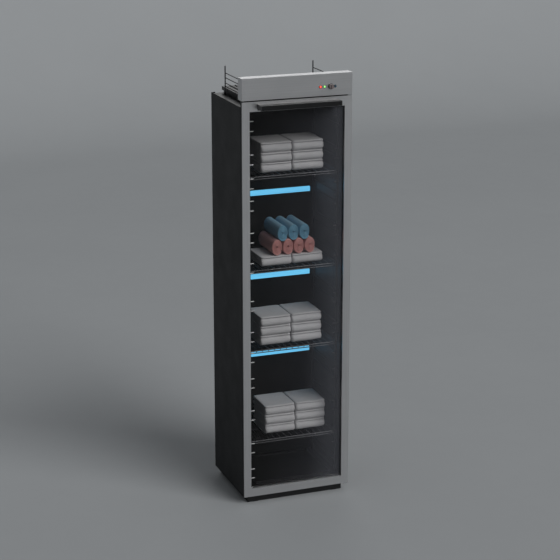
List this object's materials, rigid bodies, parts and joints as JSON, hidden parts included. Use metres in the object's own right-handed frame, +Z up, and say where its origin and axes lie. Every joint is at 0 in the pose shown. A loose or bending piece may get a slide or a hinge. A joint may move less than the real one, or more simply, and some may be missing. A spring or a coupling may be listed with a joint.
{
  "type": "hot towel cabinet",
  "caption": "Tall heated towel cabinet with a glass door, full-width pull handle, wire shelves in side racks, lamp bars on the rear wall and stacked and rolled towels.",
  "frame": {"origin": "on the floor, at the centre of the footprint, handle included", "axes": "+Z up; the door faces -Y; +X to the right seen from the front"},
  "size_m": [0.5, 0.459, 1.922],
  "materials": {
    "base_panel": "satin powder coat",
    "button_switch": "matt",
    "control_bezels": "gloss",
    "door_backing": "matt",
    "door_frame": "brushed stainless",
    "door_gasket": "matt",
    "door_glass": "tinted, clear",
    "door_handle": "satin powder coat",
    "drip_tray": "brushed stainless",
    "fascia": "brushed stainless",
    "fascia_rear_cover": "satin powder coat",
    "folded_towels_1": "terry cotton",
    "folded_towels_2": "terry cotton",
    "folded_towels_3": "terry cotton",
    "folded_towels_4": "terry cotton",
    "front_frame_bottom": "satin powder coat",
    "front_frame_sides": "satin powder coat",
    "front_frame_top": "satin powder coat",
    "gallery_rails": "satin powder coat",
    "handle_end_caps": "matt",
    "handle_screws": "polished",
    "heater_pads": "silicone",
    "hinge_plates": "polished",
    "indicator_green": "gloss",
    "indicator_red": "gloss",
    "insulation_ends": "foam",
    "insulation_rear": "foam",
    "insulation_sides": "foam",
    "lamp_driver": "satin powder coat",
    "lamp_housings": "satin powder coat",
    "lamp_tubes": "frosted, lit",
    "liner_back": "satin",
    "liner_ends": "satin",
    "liner_sides": "satin",
    "plinth_cross_rails": "satin powder coat",
    "plinth_pads": "matt",
    "plinth_side_rails": "satin powder coat",
    "power_inlet": "matt",
    "push_button": "gloss",
    "rack_posts": "brushed stainless",
    "rack_rungs_left": "brushed stainless",
    "rack_rungs_right": "brushed stainless",
    "rack_strips": "satin powder coat",
    "rear_panel": "satin powder coat",
    "rear_panel_screws": "polished",
    "rolled_towels_blue": "terry cotton",
    "rolled_towels_pink": "terry cotton",
    "shelf_1": "polished",
    "shelf_2": "polished",
    "shelf_3": "polished",
    "shelf_4": "polished",
    "side_panel_left": "satin powder coat",
    "side_panel_right": "satin powder coat",
    "terminal_block": "matt",
    "thermostat": "matt",
    "thermostat_knob": "satin",
    "thermostat_shaft": "polished",
    "top_cover": "satin powder coat",
    "top_housing": "satin powder coat",
    "top_housing_lid": "satin powder coat"
  },
  "bodies": {
    "cabinet": {"base_panel": "base_panel", "button_switch": "button_switch", "control_bezels": "control_bezels", "drip_tray": "drip_tray", "fascia": "fascia", "fascia_rear_cover": "fascia_rear_cover", "folded_towels_1": "folded_towels_1", "folded_towels_2": "folded_towels_2", "folded_towels_3": "folded_towels_3", "folded_towels_4": "folded_towels_4", "front_frame_bottom": "front_frame_bottom", "front_frame_sides": "front_frame_sides", "front_frame_top": "front_frame_top", "gallery_rails": "gallery_rails", "heater_pads": "heater_pads", "hinge_plates": "hinge_plates", "indicator_green": "indicator_green", "indicator_red": "indicator_red", "insulation_ends": "insulation_ends", "insulation_rear": "insulation_rear", "insulation_sides": "insulation_sides", "lamp_driver": "lamp_driver", "lamp_housings": "lamp_housings", "lamp_tubes": "lamp_tubes", "liner_back": "liner_back", "liner_ends": "liner_ends", "liner_sides": "liner_sides", "plinth_cross_rails": "plinth_cross_rails", "plinth_pads": "plinth_pads", "plinth_side_rails": "plinth_side_rails", "power_inlet": "power_inlet", "rack_posts": "rack_posts", "rack_rungs_left": "rack_rungs_left", "rack_rungs_right": "rack_rungs_right", "rack_strips": "rack_strips", "rear_panel": "rear_panel", "rear_panel_screws": "rear_panel_screws", "rolled_towels_blue": "rolled_towels_blue", "rolled_towels_pink": "rolled_towels_pink", "shelf_1": "shelf_1", "shelf_2": "shelf_2", "shelf_3": "shelf_3", "shelf_4": "shelf_4", "side_panel_left": "side_panel_left", "side_panel_right": "side_panel_right", "terminal_block": "terminal_block", "thermostat": "thermostat", "top_cover": "top_cover", "top_housing": "top_housing", "top_housing_lid": "top_housing_lid"},
    "door": {"door_frame": "door_frame", "door_backing": "door_backing", "door_glass": "door_glass", "door_gasket": "door_gasket", "door_handle": "door_handle", "handle_end_caps": "handle_end_caps", "handle_screws": "handle_screws"},
    "knob": {"thermostat_knob": "thermostat_knob", "thermostat_shaft": "thermostat_shaft"},
    "button": {"push_button": "push_button"}
  },
  "joints": [
    {"name": "door_hinge", "type": "hinge", "parent": "cabinet", "child": "door", "pos_m": [0.242, -0.1695, 0.93], "axis": [0, 0, 1], "range_deg": [0, 110]},
    {"name": "thermostat_turn", "type": "hinge", "parent": "cabinet", "child": "knob", "pos_m": [0.1505, -0.1865, 1.867], "axis": [0, -1, 0], "range_deg": [-270, 0]},
    {"name": "button_press", "type": "slide", "parent": "cabinet", "child": "button", "axis": [0, 1, 0], "range_m": [0, 0.0025], "stiffness_N_per_m": 400, "springref_m": -0.001}
  ]
}
